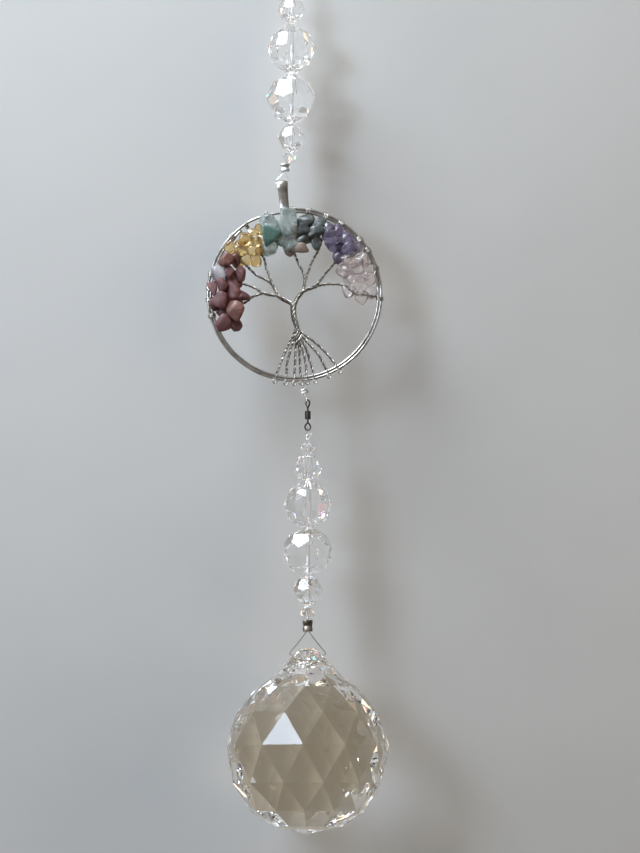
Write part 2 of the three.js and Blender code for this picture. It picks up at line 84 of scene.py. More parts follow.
def make_camera():
    data = bpy.data.cameras.new("camera")
    data.sensor_width = SENSOR
    data.lens = SENSOR * VIEW_DISTANCE / (PIXEL * math.cos(VIEW_RISE) ** 0.5 * PICTURE_HEIGHT)
    data.clip_start = 0.01
    data.clip_end = 20
    camera = bpy.data.objects.new("camera", data)
    bpy.context.scene.collection.objects.link(camera)
    back = Vector((0, -math.cos(VIEW_RISE), math.sin(VIEW_RISE)))
    camera.location = VIEW_CENTRE + back * VIEW_DISTANCE
    camera.rotation_euler = back.to_track_quat("Z", "Y").to_euler()
    bpy.context.scene.camera = camera


make_camera()


# ---- materials ----


class Nodes:
    """A material's node tree, with short calls for the nodes used here."""

    def __init__(self, name, **values):
        self.material = bpy.data.materials.new(name)
        self.material.use_nodes = True
        self.tree = self.material.node_tree
        self.shader = self.tree.nodes["Principled BSDF"]
        for socket, value in values.items():
            self.shader.inputs[socket.replace("_", " ")].default_value = value

    def add(self, kind, **settings):
        node = self.tree.nodes.new(kind)
        for key, value in settings.items():
            setattr(node, key, value)
        return node

    def link(self, source, target):
        self.tree.links.new(source, target)

    def place(self):
        return self.add("ShaderNodeTexCoord").outputs["Object"]

    def noise(self, scale, detail=3.0, rough=0.5, warp=0.0):
        node = self.add("ShaderNodeTexNoise")
        self.link(self.place(), node.inputs["Vector"])
        node.inputs["Scale"].default_value = scale
        node.inputs["Detail"].default_value = detail
        node.inputs["Roughness"].default_value = rough
        node.inputs["Distortion"].default_value = warp
        return node.outputs["Fac"]

    def ramp(self, value, stops, smooth=True):
        node = self.add("ShaderNodeValToRGB")
        ramp = node.color_ramp
        ramp.interpolation = "EASE" if smooth else "LINEAR"
        while len(ramp.elements) < len(stops):
            ramp.elements.new(0.5)
        for element, (position, colour) in zip(ramp.elements, stops):
            element.position = position
            element.color = (*colour, 1)
        self.link(value, node.inputs["Fac"])
        return node.outputs["Color"]

    def span(self, value, low, high, to_low, to_high):
        node = self.add("ShaderNodeMapRange")
        for socket, number in zip(
            ("From Min", "From Max", "To Min", "To Max"), (low, high, to_low, to_high)
        ):
            node.inputs[socket].default_value = number
        self.link(value, node.inputs["Value"])
        return node.outputs["Result"]

    def colour(self, source):
        self.link(source, self.shader.inputs["Base Color"])

    def roughness(self, source):
        self.link(source, self.shader.inputs["Roughness"])

    def bump(self, height, strength, distance):
        node = self.add("ShaderNodeBump")
        node.inputs["Strength"].default_value = strength
        node.inputs["Distance"].default_value = distance
        self.link(height, node.inputs["Height"])
        self.link(node.outputs["Normal"], self.shader.inputs["Normal"])


def crystal_material(name, colour, ior):
    """Clear lead crystal: plain values only."""
    return Nodes(
        name, Base_Color=(*colour, 1), Roughness=0.0, IOR=ior, Transmission_Weight=1.0
    ).material


def line_material():
    """Clear nylon line."""
    return Nodes(
        "clear_line",
        Base_Color=(0.94, 0.94, 0.93, 1),
        Roughness=0.06,
        IOR=1.5,
        Transmission_Weight=1.0,
    ).material


def silver_material(name, dark, mid, light, rough=(0.12, 0.26)):
    """Silver-plated wire, mottled at random from a brownish dark to pale, with uneven roughness."""
    m = Nodes(name, Metallic=1.0)
    m.colour(m.ramp(m.noise(420, detail=4, rough=0.6), [(0.28, dark), (0.45, mid), (0.7, light)]))
    m.roughness(m.span(m.noise(900), 0.3, 0.7, *rough))
    m.bump(m.noise(2200, detail=2), 0.1, 0.00003)
    return m.material


def bronze_material(name, dark):
    """Aged bronze: dark skin, rubbed brown here and there."""
    m = Nodes(name, Metallic=1.0)
    skin = m.noise(700, detail=4, rough=0.6)
    low, high = (0.015, 0.10) if dark else (0.1, 0.44)
    m.colour(
        m.ramp(
            skin,
            [(0.3, (low, low * 0.88, low * 0.78)), (0.72, (high, high * 0.87, high * 0.73))],
        )
    )
    m.roughness(m.span(skin, 0.3, 0.7, 0.28, 0.48))
    m.bump(m.noise(1600, detail=2), 0.2, 0.00005)
    return m.material


def stone_material(
    name, dark, mid, light, scale, warp=0.6, clear=0.0, rough=(0.14, 0.3), ior=1.54, shine=0.5
):
    """Tumbled stone: mottled colour, polished with a soft unevenness; clear stones pass light."""
    m = Nodes(name, IOR=ior, Transmission_Weight=clear)
    m.shader.inputs["Specular IOR Level"].default_value = shine
    mottle = m.noise(scale, detail=5, rough=0.62, warp=warp)
    m.colour(m.ramp(mottle, [(0.28, dark), (0.5, mid), (0.72, light)]))
    m.roughness(m.span(m.noise(scale * 1.7), 0.3, 0.7, *rough))
    m.bump(m.noise(scale * 2.2, detail=3), 0.18, 0.0001)
    return m.material


CRYSTAL = crystal_material("crystal_glass", (0.985, 0.985, 0.985), 1.52)
BALL_CRYSTAL = crystal_material("ball_crystal_glass", (0.95, 0.94, 0.92), 1.56)
LINE = line_material()
SILVER = silver_material("silver_plate", (0.24, 0.21, 0.18), (0.42, 0.395, 0.36), (0.61, 0.585, 0.55))
SOFT_SILVER = silver_material(
    "silver_crimp", (0.55, 0.53, 0.5), (0.74, 0.73, 0.71), (0.86, 0.855, 0.845), rough=(0.3, 0.45)
)
TREE_SILVER = silver_material(
    "silver_tree_wire", (0.19, 0.16, 0.13), (0.41, 0.37, 0.32), (0.62, 0.585, 0.53)
)
# A darker copy of the tree silver, for every other strand: painted shade in the twist.
SHADED_TREE_SILVER = silver_material(
    "silver_tree_wire_painted_shade", (0.07, 0.06, 0.052), (0.17, 0.155, 0.14), (0.3, 0.28, 0.255)
)
AGED_BRONZE = bronze_material("aged_bronze", dark=False)
DARK_BRONZE = bronze_material("dark_bronze", dark=True)

STONES = {
    "jasper": stone_material(
        "jasper", (0.07, 0.03, 0.033), (0.16, 0.07, 0.07), (0.29, 0.15, 0.14), 420,
        rough=(0.36, 0.55), shine=0.3,
    ),
    "carnelian": stone_material(
        "carnelian", (0.11, 0.043, 0.036), (0.2, 0.088, 0.073), (0.36, 0.2, 0.168), 260, clear=0.15,
        rough=(0.28, 0.45), shine=0.35,
    ),
    "moonstone": stone_material(
        "moonstone", (0.39, 0.37, 0.41), (0.6, 0.57, 0.61), (0.86, 0.83, 0.85), 240, clear=0.6
    ),
    "citrine": stone_material(
        "citrine", (0.56, 0.36, 0.1), (0.78, 0.57, 0.25), (0.93, 0.8, 0.52), 230, clear=0.9,
        rough=(0.05, 0.18),
    ),
    "aventurine": stone_material(
        "aventurine", (0.38, 0.45, 0.43), (0.54, 0.61, 0.59), (0.72, 0.78, 0.76), 260, clear=0.7,
        rough=(0.16, 0.34),
    ),
    "greenstone": stone_material(
        "greenstone", (0.05, 0.11, 0.09), (0.1, 0.19, 0.16), (0.19, 0.3, 0.27), 300, clear=0.2,
        rough=(0.2, 0.4),
    ),
    "darkstone": stone_material(
        "darkstone", (0.022, 0.027, 0.026), (0.062, 0.07, 0.067), (0.19, 0.2, 0.195), 420,
        rough=(0.2, 0.4),
    ),
    "sandstone": stone_material(
        "sandstone", (0.11, 0.08, 0.065), (0.24, 0.185, 0.155), (0.46, 0.38, 0.33), 420,
        rough=(0.3, 0.5),
    ),
    "amethyst": stone_material(
        "amethyst", (0.13, 0.1, 0.19), (0.32, 0.275, 0.41), (0.64, 0.6, 0.71), 260, clear=0.8,
        rough=(0.08, 0.22),
    ),
    "quartz": stone_material(
        "quartz", (0.74, 0.68, 0.67), (0.86, 0.8, 0.79), (0.97, 0.93, 0.92), 230, clear=0.93,
        rough=(0.05, 0.2), ior=1.42,
    ),
}


# ---- mesh tools ----


class Shape:
    """Points and faces gathered from several parts, in millimetres."""

    def __init__(self):
        self.points = []
        self.faces = []
        self.count = 0

    def add(self, points, faces):
        self.points.append(np.asarray(points, float))
        self.faces.extend([tuple(int(i) + self.count for i in face) for face in faces])
        self.count += len(points)

    def tube(self, path, radius, sides=8, closed=False):
        path = np.asarray(path, float)
        count = len(path)
        radii = np.broadcast_to(np.asarray(radius, float), (count,))
        if closed:
            tangent = np.roll(path, -1, 0) - np.roll(path, 1, 0)
        else:
            tangent = np.gradient(path, axis=0)
        tangent /= np.linalg.norm(tangent, axis=1)[:, None]
        across = np.zeros_like(path)
        start = np.cross(tangent[0], (0.0, 1.0, 0.0))
        if np.linalg.norm(start) < 0.2:
            start = np.cross(tangent[0], (1.0, 0.0, 0.0))
        across[0] = start / np.linalg.norm(start)
        for i in range(1, count):
            turned = across[i - 1] - tangent[i] * np.dot(across[i - 1], tangent[i])
            across[i] = turned / np.linalg.norm(turned)
        other = np.cross(tangent, across)
        angles = np.arange(sides) * TURN / sides
        ring = (
            np.cos(angles)[None, :, None] * across[:, None, :]
            + np.sin(angles)[None, :, None] * other[:, None, :]
        )
        points = (path[:, None, :] + ring * radii[:, None, None]).reshape(-1, 3)
        faces = []
        for i in range(count if closed else count - 1):
            j = (i + 1) % count
            for k in range(sides):
                n = (k + 1) % sides
                faces.append((i * sides + k, j * sides + k, j * sides + n, i * sides + n))
        if not closed:
            tips = [path[0] - tangent[0] * radii[0] * 0.5, path[-1] + tangent[-1] * radii[-1] * 0.5]
            first = len(points)
            points = np.vstack([points, tips])
            last = (count - 1) * sides
            for k in range(sides):
                n = (k + 1) % sides
                faces.append((first, k, n))
                faces.append((first + 1, last + n, last + k))
        self.add(points, faces)

    def build(self, name, material, body, matrix=Matrix.Identity(4), smooth=True):
        points = np.vstack(self.points)
        world = np.asarray(matrix)[:3, :3] @ points.T + np.asarray(matrix)[:3, 3:4]
        mesh = bpy.data.meshes.new(name)
        mesh.from_pydata((world.T * MM).tolist(), [], self.faces)
        mesh.validate()
        if smooth:
            mesh.shade_smooth()
        mesh.materials.append(material)
        thing = bpy.data.objects.new(name, mesh)
        bpy.context.scene.collection.objects.link(thing)
        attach(thing, body)
        return thing


def spline(stations, step=0.2):
    """Even points along a smooth curve through the stations."""
    p = np.asarray(stations, float)
    if p.shape[1] == 2:
        p = np.stack([p[:, 0], np.zeros(len(p)), p[:, 1]], 1)
    p = np.vstack([2 * p[0] - p[1], p, 2 * p[-1] - p[-2]])
    fine = []
    t = np.linspace(0, 1, 24, endpoint=False)[:, None]
    for a, b, c, d in zip(p[:-3], p[1:-2], p[2:-1], p[3:]):
        fine.append(
            0.5 * (2 * b + (c - a) * t + (2 * a - 5 * b + 4 * c - d) * t**2
                   + (3 * b - a - 3 * c + d) * t**3)
        )
    fine = np.vstack(fine + [p[-2][None]])
    along = np.concatenate([[0], np.cumsum(np.linalg.norm(np.diff(fine, axis=0), axis=1))])
    wanted = np.linspace(0, along[-1], max(4, int(along[-1] / step)))
    return np.stack([np.interp(wanted, along, fine[:, i]) for i in range(3)], 1)


def twisted(path, count, spread, pitch, turn=0.0):
    """Strands wound round a path that lies in the pendant's plane."""
    tangent = np.gradient(path, axis=0)
    tangent /= np.linalg.norm(tangent, axis=1)[:, None]
    side = np.cross(tangent, (0.0, 1.0, 0.0))
    side /= np.linalg.norm(side, axis=1)[:, None]
    front = np.cross(tangent, side)
    along = np.concatenate([[0], np.cumsum(np.linalg.norm(np.diff(path, axis=0), axis=1))])
    for k in range(count):
        angle = turn + TURN * (k / count + along / pitch)
        yield path + spread * (
            np.cos(angle)[:, None] * side + np.sin(angle)[:, None] * front
        )


# ---- pendant ring, bail and tree ----

SKIN_DEPTH = 0.36  # between the bail's two skins; the CAD bail's wall is 0.38


def pendant_ring():
    """One wire wound twice round, stepping from the outer to the inner track."""
    turns_in_all = 2 - RING_SHIFT - 0.012
    turns = np.linspace(0, turns_in_all, 420)
    shift = np.clip((turns - (1 - RING_SHIFT)) / RING_SHIFT, 0, 1)
    radius = RING_R - RING_WIRE_D / 2 - RING_PITCH * shift * shift * (3 - 2 * shift)
    path = np.stack(
        [radius * np.sin(TURN * turns), 0 * turns, radius * np.cos(TURN * turns)], 1
    )
    shape = Shape()
    shape.tube(path, RING_WIRE_D / 2, sides=14)
    ring = shape.build("ring_wire", SILVER, "upper", PENDANT)
    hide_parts("pendant_ring")


def bail_profile():
    """Depth, height and outward direction of the folded strip, once round."""
    stations = [
        (0, BAIL_BOTTOM), (0.75, BAIL_BOTTOM + 0.22), (1.05, 21.3), (1.02, 22.6), (1.12, 24.2),
        (1.35, 25.8), (1.55, BAIL_TOP - 2.1), (1.5, BAIL_TOP - 1.1), (1.0, BAIL_TOP - 0.3),
        (0, BAIL_TOP),
    ]
    half = spline([(d, h) for d, h in stations], 0.25)
    loop = np.vstack([half[:-1], half[::-1][:-1] * (-1, 1, 1)])
    tangent = np.roll(loop, -1, 0) - np.roll(loop, 1, 0)
    tangent /= np.linalg.norm(tangent, axis=1)[:, None]
    outward = np.stack([tangent[:, 2], tangent[:, 1], -tangent[:, 0]], 1)
    return loop, outward


def pendant_bail():
    """The folded strip: an outer and an inner skin, crowned across, joined along both edges."""
    loop, outward = bail_profile()
    if outward[0][2] > 0:
        outward = -outward
    rise = np.clip((loop[:, 2] - BAIL_BOTTOM) / (BAIL_TOP - BAIL_BOTTOM), 0, 1)
    half_width = 1.02 + 0.33 * rise + 0.12 * np.clip((rise - 0.72) / 0.1, 0, 1)
    crown = 0.24 + 0.1 * np.clip((rise - 0.7) / 0.2, 0, 1)
    columns = np.sin(np.linspace(-math.pi / 2, math.pi / 2, 11))
    points = []
    for depth, narrowing, crowning in ((0.0, 1.0, 1.0), (SKIN_DEPTH, 0.98, 0.3)):
        for x in columns:
            place = loop - outward * (depth + crown * x * x * crowning)[:, None]
            points.append(np.stack([x * half_width * narrowing, place[:, 0], place[:, 2]], 1))
    count = len(loop)
    width = len(columns)
    faces = []

    def index(layer, column, i):
        return (layer * width + column) * count + i % count

    for i in range(count):
        for c in range(width - 1):
            faces.append((index(0, c, i), index(0, c + 1, i), index(0, c + 1, i + 1), index(0, c, i + 1)))
            faces.append((index(1, c, i), index(1, c, i + 1), index(1, c + 1, i + 1), index(1, c + 1, i)))
        for c, flip in ((0, False), (width - 1, True)):
            face = (index(0, c, i), index(0, c, i + 1), index(1, c, i + 1), index(1, c, i))
            faces.append(face[::-1] if flip else face)
    shape = Shape()
    shape.add(np.vstack(points), faces)
    bail = shape.build("bail", SILVER, "upper", PENDANT)
    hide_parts("pendant_bail")


def polar(degrees, radius, depth=0.0):
    """A place in the pendant's own frame, clockwise from the top."""
    angle = math.radians(degrees)
    return (radius * math.sin(angle), depth, radius * math.cos(angle))


def rim_wrap(shape, degrees, turns, lead=0.34, start=0.25):
    """Thin wire wound round both turns of the ring."""
    t = np.linspace(start, start + turns, int(16 * turns))
    angle = TURN * t
    out = np.cos(angle)
    reach = BAND_HALF + WRAP_D / 2 + 0.02
    radius = BAND_MID + reach * np.sign(out) * np.abs(out) ** 0.6
    depth = -(RING_WIRE_D / 2 + WRAP_D / 2 + 0.02) * np.sin(angle)
    around = math.radians(degrees) + lead * (t - start - turns / 2) / BAND_MID
    shape.tube(
        np.stack([radius * np.sin(around), depth, radius * np.cos(around)], 1), WRAP_D / 2, sides=8
    )


def root_curl(shape, degrees, side):
    """A root's end: round the front of the ring, then curled up in a small eye below it."""
    eye = 0.5
    front = -(RING_WIRE_D / 2 + WIRE_D / 2 + 0.03)
    middle = -(RING_R + 0.4)
    curl = [
        (side * eye * math.sin(a), front - 0.1 * math.sin(a / 2), middle + eye * math.cos(a))
        for a in np.linspace(0.5, TURN * 0.97, 10)
    ]
    inner = -(BAND_MID - BAND_HALF)
    path = spline(
        [(-side * 0.2, 0.1, inner + 0.5), (-side * 0.15, front, inner), (0, front, -BAND_MID), *curl],
        0.1,
    )
    turn = Matrix.Rotation(math.radians(degrees) - math.pi, 3, "Y")
    shape.tube((np.asarray(turn) @ path.T).T, WRAP_D / 2, sides=8)


# Many numbers in RIM_WRAPS, ROOT_COILS, LIMBS and CHIPS were printed by a scratch program from
# places read by eye off the photo, then partly adjusted by hand. Many numbers in RIM_WRAPS,
# ROOT_COILS, LIMBS and CHIPS were computed from places read off the photo, then partly adjusted
# one by one; how well they fit is still an open fault. Where wire wraps and root ends sit on the
# ring, in degrees clockwise from the top.
RIM_WRAPS = (-98, -87, -79, -70, -41, -28, -13, 5, 16, 28, 39, 56, 65, 78, 99)
ROOT_COILS = (-161, -168, -173.5, -178, 178, 173, 163.5, 156)

# Branch centre lines in the ring's plane: strands, how far they spread, then the stations.
LIMBS = [
    (5, 0.36, [(-0.45, -3.0), (-1.2, -2.0), (-3.0, -0.8), (-4.2, 0.3)]),
    (3, 0.24, [(-4.2, 0.3), (-6.3, 0.7), (-8.1, 1.4)]),
    (2, 0.165, [(-8.1, 1.4), (-9.4, 2.6), (-11.2, 3.6), (-12.8, 4.2), (-15.5, 5.2)]),
    (2, 0.165, [(-7.9, 1.2), (-10.3, 0.7), (-11.6, -0.1), (-13, -0.8), (-16.5, -1.6)]),
    (3, 0.24, [(-4.2, 0.3), (-5.1, 3.0)]),
    (2, 0.175, [(-5.1, 3.0), (-6.8, 4.6), (-8.8, 5.9), (-10.7, 8.1), (-13.4, 11.6)]),
    (2, 0.165, [(-5.2, 3.2), (-5.6, 4.7), (-6.3, 7.6), (-6.5, 9.7), (-7.1, 11.2), (-8.4, 15.2)]),
    (5, 0.36, [(-0.5, -3.0), (0.5, -1.1), (1.9, 0.4)]),
    (3, 0.24, [(1.9, 0.4), (2.6, 1.7), (3.0, 3.2)]),
    (2, 0.165, [(2.9, 3.0), (2.75, 5.4), (2.0, 7.3), (1.4, 9.3), (0.4, 14.0)]),
    (2, 0.165, [(3.1, 3.2), (4.0, 5.2), (5.5, 8.1), (6.9, 10.1), (7.7, 11.5), (9.2, 15.0)]),
    (4, 0.28, [(1.9, 0.4), (3.1, 0.9), (4.4, 1.2)]),
    (2, 0.175, [(4.4, 1.2), (6.1, 2.2), (8.5, 4.7), (10.8, 6.9), (14.0, 11.4)]),
    (2, 0.175, [(4.3, 1.0), (6.9, 1.7), (9.3, 1.7), (11.2, 1.4), (12.9, 0.7), (14.5, -1.1),
                (16.9, -2.0), (20.3, -2.6)]),
]
TRUNK = [(-0.5, -2.3), (-0.75, -4.0), (-0.75, -5.8), (-0.35, -8.0), (-0.3, -9.2)]
# Roots: where each meets the ring, in degrees, and its bends on the way there.
ROOT_BENDS = {
    -161: [(-1.6, -10.4), (-3.2, -12.8), (-5.2, -16.4)],
    -168: [(-1.1, -10.6), (-2.3, -13.2), (-3.7, -16.8)],
    -173.5: [(-0.7, -10.8), (-1.2, -13.4), (-1.8, -17.2)],
    -178: [(-0.4, -11.0), (-0.35, -14.0), (-0.6, -17.4)],
    178: [(-0.1, -11.0), (0.45, -14.0), (0.85, -17.4)],
    173: [(0.2, -10.6), (1.2, -13.4), (2.0, -17.0)],
    163.5: [(0.5, -10.2), (2.3, -12.9), (4.2, -15.6)],
    156: [(0.9, -9.9), (3.6, -12.4), (6.1, -15.3)],
}


def tree_wires():
    """Bright wire twisted with a darker copy of it, strand about, in trunk, limbs and roots;
    the darker strands are painted shade in the twist.
    """
    # The second shape gets the darker copy of the silver: painted shade.
    bright, shaded = Shape(), Shape()
    for number, (strands, spread, stations) in enumerate(LIMBS):
        path = spline(stations, WIRE_STEP)
        path[:, 1] += 0.12 * np.sin(np.linspace(0, 3, len(path)) + number)
        pitch = {2: 2.3, 3: 2.8}.get(strands, 3.4)
        for k, strand in enumerate(twisted(path, strands, spread * 1.12, pitch, number * 1.7)):
            (shaded if k % 2 else bright).tube(strand, WIRE_D / 2, sides=8)
    trunk = spline(TRUNK, WIRE_STEP)
    pinch = 0.62 - 0.2 * np.linspace(0, 1, len(trunk)) ** 2
    for layer, count, turn in ((1.0, 8, 0.0), (0.5, 4, 0.6)):
        for k, strand in enumerate(twisted(trunk, count, 1.0, 4.8, turn)):
            strand = trunk + (strand - trunk) * (pinch * layer)[:, None]
            (shaded if k % 2 else bright).tube(strand, WIRE_D / 2, sides=8)
    for number, (degrees, bends) in enumerate(ROOT_BENDS.items()):
        end = polar(degrees, BAND_MID - BAND_HALF - 0.1)
        path = spline([(-0.35, -8.0), *bends, (end[0], end[2])], WIRE_STEP)
        path[:, 1] -= 0.25 * np.sin(np.linspace(0, math.pi, len(path)) * (1 + number % 2))
        for shape, strand in zip((bright, shaded), twisted(path, 2, 0.19, 2.1, number * 0.9)):
            shape.tube(strand, WIRE_D / 2 - 0.01, sides=8)
    # The second piece is painted shade: a darker copy of the tree silver.
    pieces = ((bright, "tree_wire", TREE_SILVER), (shaded, "tree_wire_painted_shade", SHADED_TREE_SILVER))
    for shape, name, material in pieces:
        tree = shape.build(name, material, "upper", PENDANT)
        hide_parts("tree_wires")


def rim_wires():
    """The wraps round the rim and the curled root ends, as one piece."""
    shape = Shape()
    rng = random.Random(11)
    for degrees in RIM_WRAPS:
        rim_wrap(shape, degrees, rng.choice((2.9, 3.4, 3.9)), start=rng.uniform(0.1, 0.6))
    for number, degrees in enumerate(ROOT_COILS):
        root_curl(shape, degrees, 1 if number % 2 else -1)
    wraps = shape.build("rim_wrap_wire", SILVER, "upper", PENDANT)


# ---- gem chips ----

# Stone, angle clockwise from the top, distance from the middle, width, height, depth in front
# of the ring's plane, and how far the chip is turned, in degrees.
CHIPS = [
    ("carnelian", -100, 15.2, 4.0, 5.0, 1.9, -12),
    ("jasper", -106, 19.0, 3.8, 4.2, 0.9, 20),
    ("jasper", -110, 16.6, 2.8, 3.6, 0.2, -30),
    ("jasper", -88, 18.5, 3.5, 3.8, 1.3, 35),
    ("jasper", -85, 13.8, 4.8, 2.7, 0.8, 24),
    ("jasper", -80, 20.3, 2.5, 3.8, 0.5, -8),
    ("jasper", -77, 18.1, 2.8, 3.5, 1.6, 12),
    ("jasper", -79, 15.2, 3.2, 4.5, 0.9, 6),
    ("jasper", -93, 16.9, 3.2, 3.2, 0.0, 50),
    ("jasper", -91, 20.0, 2.5, 3.0, 0.5, 0),
    ("jasper", -95, 18.3, 3.0, 3.4, -0.6, 10),
    ("jasper", -86, 16.4, 3.0, 3.6, 0.2, -20),
    ("jasper", -63, 14.6, 2.8, 4.0, 0.5, -6),
    ("jasper", -65, 17.3, 2.5, 2.8, 1.7, 30),
    ("moonstone", -68, 19.5, 3.8, 4.0, 1.2, -15),
    ("moonstone", -61, 20.0, 2.4, 2.6, -0.2, 10),
    ("carnelian", -57, 19.2, 3.5, 3.2, 1.9, 0),
    ("carnelian", -52, 17.2, 2.5, 3.2, 0.9, 20),
    ("carnelian", -70, 16.4, 2.6, 3.2, 0.3, 16),
    ("citrine", -47, 19.6, 3.5, 2.5, 0.8, 28),
    ("citrine", -36, 18.7, 3.2, 3.0, 1.7, 0),
    ("citrine", -27, 18.5, 2.8, 2.0, 1.2, 18),
    ("citrine", -44, 17.4, 3.0, 3.0, 1.4, -20),
    ("citrine", -37, 15.1, 3.2, 2.8, 1.5, 30),
    ("citrine", -29, 16.4, 2.5, 2.5, 1.8, 0),
    ("citrine", -48, 14.9, 2.8, 3.2, 0.7, -35),
    ("citrine", -42, 12.9, 2.5, 3.0, 1.0, 8),
    ("citrine", -40, 18.6, 2.6, 2.4, -0.3, 40),
    ("citrine", -34, 17.0, 2.8, 2.6, -0.2, 5),
    ("citrine", -50, 17.8, 2.4, 2.4, -0.2, 15),
    ("citrine", -31, 14.2, 2.4, 2.6, 0.2, 12),
    ("aventurine", -13, 19.6, 4.2, 3.2, 0.7, -6),
    ("aventurine", -13, 17.4, 4.2, 3.2, 1.3, 8),
    ("greenstone", -17, 15.6, 5.0, 4.6, 2.0, 22),
    ("aventurine", 2, 18.3, 3.7, 6.4, 2.1, 4),
    ("aventurine", -22, 13.4, 4.2, 4.0, 0.2, 0),
    ("aventurine", -2, 13.4, 4.5, 4.2, 0.9, -14),
    ("aventurine", -9, 14.6, 3.4, 3.6, -0.3, 0),
    ("darkstone", 14, 18.8, 4.4, 2.9, 0.8, -4),
    ("darkstone", 12, 16.3, 4.4, 3.1, 1.6, 6),
    ("darkstone", 26, 18.9, 4.2, 2.9, 1.0, 12),
    ("darkstone", 26, 16.6, 4.2, 3.0, 1.8, 8),
    ("darkstone", 14, 13.8, 3.5, 2.3, 1.5, 12),
    ("darkstone", 29, 13.9, 2.6, 3.2, 1.2, 24),
    ("sandstone", 1, 11.4, 2.6, 3.2, 0.7, 8),
    ("sandstone", 13, 11.8, 4.2, 2.3, 1.5, 10),
    ("amethyst", 40, 19.3, 3.2, 3.6, 0.9, 30),
    ("amethyst", 40, 17.0, 3.8, 3.8, 1.9, 0),
    ("amethyst", 50, 19.4, 3.2, 3.0, 1.2, 15),
    ("amethyst", 56, 17.8, 3.8, 3.2, 1.6, -10),
    ("amethyst", 47, 15.6, 3.8, 2.5, 0.9, 32),
    ("amethyst", 56, 14.5, 2.6, 3.2, 0.8, 0),
    ("amethyst", 46, 17.6, 2.8, 2.8, -0.4, 0),
    ("quartz", 61, 19.5, 3.8, 2.8, 0.9, 30),
    ("quartz", 63, 16.1, 3.5, 3.2, 1.2, 0),
    ("quartz", 69, 19.0, 3.8, 3.2, 1.5, 20),
    ("quartz", 72, 13.8, 3.8, 3.6, 0.8, -12),
    ("quartz", 74, 16.5, 3.8, 3.2, 1.8, 8),
    ("quartz", 78, 19.6, 3.0, 3.2, 0.9, 10),
    ("quartz", 88, 15.9, 4.5, 4.3, 1.4, 0),
    ("quartz", 85, 19.0, 3.0, 3.2, 1.6, -16),
    ("quartz", 95, 18.9, 3.0, 3.0, 0.8, 25),
    ("quartz", 68, 17.6, 2.8, 2.8, -0.2, 0),
    ("quartz", 82, 17.4, 2.8, 2.8, -0.1, 0),
    ("jasper", -101, 17.4, 3.4, 3.8, -0.2, 15),
    ("jasper", -82, 17.2, 3.4, 3.6, -0.4, -12),
    ("jasper", -73, 17.0, 3.0, 3.4, 0.0, 8),
    ("jasper", -91, 14.6, 2.8, 3.2, 0.0, 30),
    ("jasper", -72, 14.9, 2.6, 3.4, 0.0, -5),
    ("citrine", -54, 16.4, 2.6, 2.8, 0.0, 12),
    ("darkstone", 20, 17.6, 3.2, 3.4, 0.0, 10),
    ("darkstone", 20, 14.8, 2.8, 3.0, 0.4, 30),
    ("amethyst", 51, 16.4, 2.8, 3.0, 0.0, 24),
    ("amethyst", 34, 18.2, 3.4, 3.6, 1.4, 20),
    ("amethyst", 59, 19.6, 2.6, 2.8, 0.8, 30),
    ("quartz", 99, 16.8, 3.2, 3.4, 0.6, 15),
    ("quartz", 92, 13.8, 3.0, 3.2, 0.4, -20),
    ("quartz", 79, 14.6, 3.0, 3.4, 0.1, 24),
    ("quartz", 66, 14.2, 2.8, 3.0, 0.4, 10),
    ("quartz", 58, 17.0, 2.8, 3.0, -0.2, 40),
    ("aventurine", -6, 16.6, 3.4, 3.8, 0.2, 12),
    ("aventurine", 3, 13.6, 3.8, 5.0, 1.0, 6),
    ("citrine", -56, 19.0, 2.6, 2.6, 0.4, 0),
    ("citrine", -22, 18.6, 2.4, 2.8, 0.2, 12),
]
CHIP_GROWTH = 1.14
CHIP_LEAN = 0.22  # radians


def sphere_directions(levels):
    """Directions over a sphere, and the faces that join them, from a split octahedron."""
    points = [Vector(p) for p in ((1, 0, 0), (-1, 0, 0), (0, 1, 0), (0, -1, 0), (0, 0, 1), (0, 0, -1))]
    faces = [
        (0, 2, 4), (2, 1, 4), (1, 3, 4), (3, 0, 4), (2, 0, 5), (1, 2, 5), (3, 1, 5), (0, 3, 5),
    ]
    for _ in range(levels):
        middles = {}

        def middle(a, b):
            key = (min(a, b), max(a, b))
            if key not in middles:
                middles[key] = len(points)
                points.append((points[a] + points[b]).normalized())
            return middles[key]

        split = []
        for a, b, c in faces:
            ab, bc, ca = middle(a, b), middle(b, c), middle(c, a)
            split += [(a, ab, ca), (b, bc, ab), (c, ca, bc), (ab, bc, ca)]
        faces = split
    return np.array([tuple(p) for p in points]), faces


SPHERE_POINTS, SPHERE_FACES = sphere_directions(4)


# Broad flats that give a chip its outline, and how near its middle they lie.
COLUMN = ([(1, 0, 0.08), (-1, 0, -0.05), (0.12, 0, 1), (-0.05, 0, -1), (0, -1, 0)], 0.62)
WEDGE = ([(0.1, 0, 1), (-0.85, 0, -0.4), (0.8, 0, -0.5), (0, -1, 0.1)], 0.5)
SLAB = ([(0, 0, 1), (0.05, 0, -1), (0.9, 0, 0.4), (-0.9, 0, 0.2)], 0.64)
CUTS = {
    "aventurine_stone_1": SLAB, "aventurine_stone_2": SLAB, "aventurine_stone_3": COLUMN,
    "aventurine_stone_5": WEDGE, "greenstone_stone_1": WEDGE, "quartz_stone_7": WEDGE,
    "sandstone_stone_2": SLAB, "citrine_stone_1": SLAB, "jasper_stone_5": WEDGE,
    "jasper_stone_7": SLAB, "jasper_stone_3": SLAB,
}


